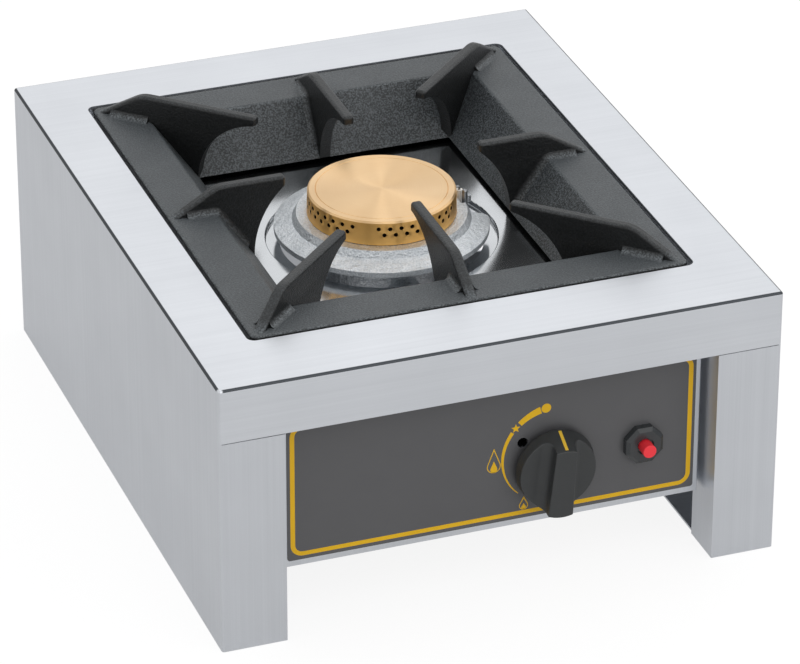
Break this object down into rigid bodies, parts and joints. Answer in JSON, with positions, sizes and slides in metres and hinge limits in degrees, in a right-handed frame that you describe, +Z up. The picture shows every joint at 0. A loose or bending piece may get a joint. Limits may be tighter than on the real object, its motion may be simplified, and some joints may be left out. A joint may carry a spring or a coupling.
{
  "type": "table-top gas stove",
  "caption": "Table-top gas boiling ring: folded stainless body with recessed control panel, knob and piezo igniter, cast-iron pan support over a brass-capped burner in a pressed tray.",
  "frame": {"origin": "centre of the footprint, on the surface the stove stands on", "axes": "+Z up, -Y toward the control panel and the user, +X to the user's right"},
  "size_m": [0.4, 0.491, 0.22],
  "materials": {
    "stainless_sheet": "fine directional grain, satin",
    "polished_tray": "polished pressed sheet",
    "cast_iron": "matt black enamelled casting, fine grain",
    "brass": "turned, fine radial lustre",
    "cast_aluminium": "cast and turned, satin",
    "zinc_plated_steel": "zinc plated",
    "steel_screws": "plain bright",
    "spring_steel": "drawn wire",
    "copper_pipe": "drawn copper",
    "printed_film": "fine textured print",
    "charcoal_plastic": "moulded satin",
    "yellow_plastic": "painted mark",
    "black_plastic": "moulded satin",
    "red_plastic": "moulded gloss",
    "white_ceramic": "glazed ceramic",
    "lead_rubber": "silicone sleeve"
  },
  "bodies": {
    "stove": {"body_shell": "stainless_sheet", "rear_panel": "stainless_sheet", "control_panel": "stainless_sheet", "drip_tray": "polished_tray", "inlet_fitting": "brass", "injector": "brass", "injector_holder": "brass", "injector_nut": "brass", "tap_bonnet": "brass", "tap_body": "brass", "bypass_screw": "brass", "feed_nuts": "brass", "supply_nuts": "brass", "burner_head": "cast_aluminium", "burner_bowl": "cast_aluminium", "burner_bracket": "zinc_plated_steel", "injector_bracket": "zinc_plated_steel", "electrode_bracket": "zinc_plated_steel", "tap_magnet": "zinc_plated_steel", "rear_screws": "steel_screws", "inlet_screws": "steel_screws", "panel_screws": "steel_screws", "bowl_screws": "steel_screws", "head_screws": "steel_screws", "electrode_screw": "steel_screws", "tap_screws": "steel_screws", "tap_spring": "spring_steel", "igniter_spring": "spring_steel", "electrode_rod": "spring_steel", "thermocouple": "spring_steel", "feed_pipe": "copper_pipe", "supply_pipe": "copper_pipe", "thermocouple_lead": "copper_pipe", "panel_overlay": "printed_film", "igniter_body": "black_plastic", "igniter_nut": "black_plastic", "igniter_electrode": "white_ceramic", "ignition_lead": "lead_rubber"},
    "support": {"pan_support": "cast_iron"},
    "cap": {"burner_cap": "brass"},
    "push": {"tap_push_rod": "spring_steel"},
    "dial": {"tap_spindle": "brass", "control_knob": "charcoal_plastic", "knob_pointer": "yellow_plastic"},
    "plug": {"tap_plug": "brass"},
    "igniter": {"igniter_button": "red_plastic"}
  },
  "joints": [
    {"name": "support_lift", "type": "slide", "parent": "stove", "child": "support", "axis": [0, 0, 1], "range_m": [0, 0.08]},
    {"name": "cap_lift", "type": "slide", "parent": "stove", "child": "cap", "axis": [0, 0, 1], "range_m": [0, 0.05]},
    {"name": "tap_push", "type": "slide", "parent": "stove", "child": "push", "axis": [0, 1, 0], "range_m": [0, 0.0035], "stiffness_N_per_m": 600, "springref_m": -0.006, "deforming": ["tap_spring"]},
    {"name": "knob_turn", "type": "hinge", "parent": "push", "child": "dial", "pos_m": [0.0428, -0.2225, 0.0877], "axis": [0, -1, 0], "range_deg": [0, 150]},
    {"name": "plug_turn", "type": "hinge", "parent": "stove", "child": "plug", "pos_m": [0.0428, -0.1888, 0.0877], "axis": [0, -1, 0], "range_deg": [0, 150]},
    {"name": "igniter_press", "type": "slide", "parent": "stove", "child": "igniter", "axis": [0, 1, 0], "range_m": [0, 0.006], "stiffness_N_per_m": 800, "springref_m": -0.005, "deforming": ["igniter_spring"]}
  ],
  "couplings": [
    {"joint": "plug_turn", "follows": "knob_turn", "ratio": 1}
  ]
}
